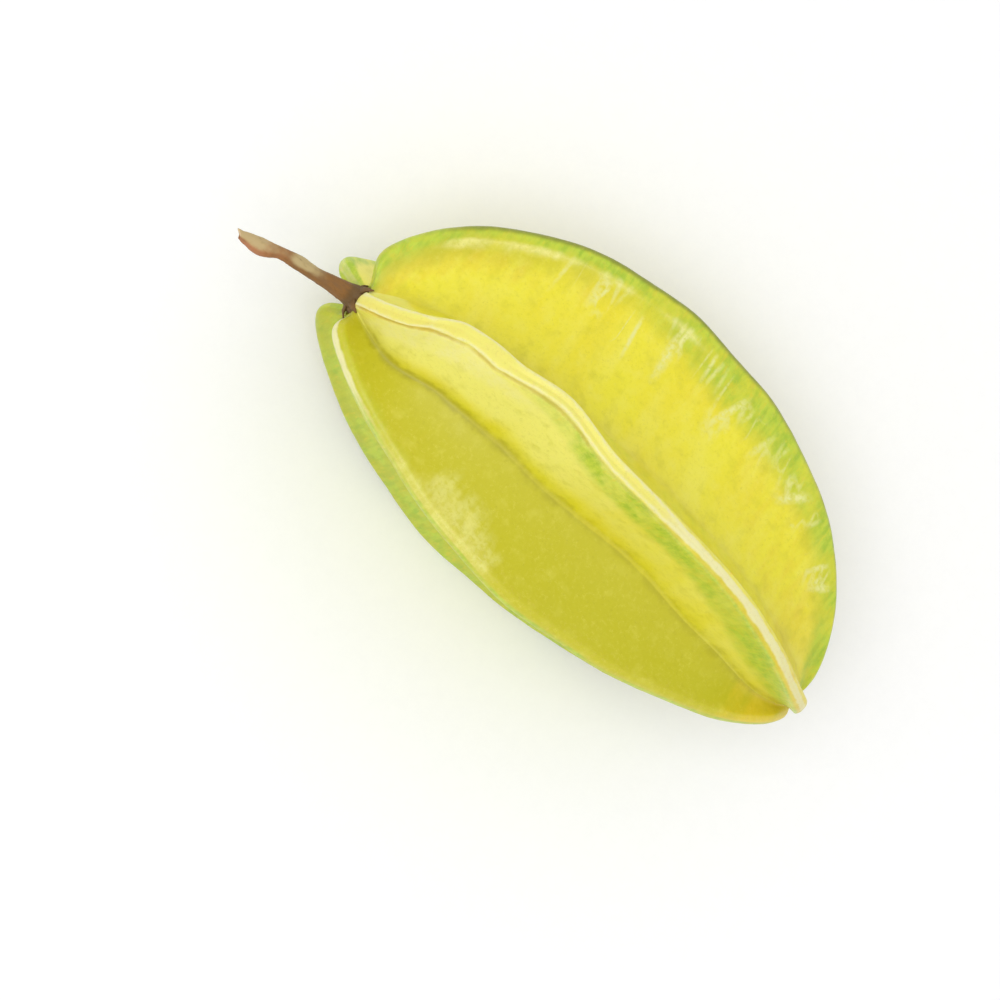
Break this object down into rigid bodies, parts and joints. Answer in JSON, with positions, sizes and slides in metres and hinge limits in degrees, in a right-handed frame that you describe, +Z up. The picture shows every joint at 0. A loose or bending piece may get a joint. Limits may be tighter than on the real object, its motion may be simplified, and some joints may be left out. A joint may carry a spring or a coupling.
{
  "type": "star fruit",
  "caption": "Whole star fruit with deep rounded ribs and its short woody stalk, lying on its side.",
  "frame": {"origin": "bottom centre of the box round the fruit and its stalk, at the height of the surface it lies on", "axes": "+X along the fruit's axis, from the stalk to the blossom end; +Z up; +Y to the side of the widest-spread rib"},
  "size_m": [0.1378, 0.0656, 0.0668],
  "materials": {
    "skin": "thin waxy fruit skin: bright yellow flanks, green rims along the crests, pale cream crest lines",
    "stalk_wood": "dry twig bark, tan above and reddish brown below, darker at the foot"
  },
  "bodies": {
    "root": {"fruit": "skin", "stem": "stalk_wood"}
  },
  "joints": []
}
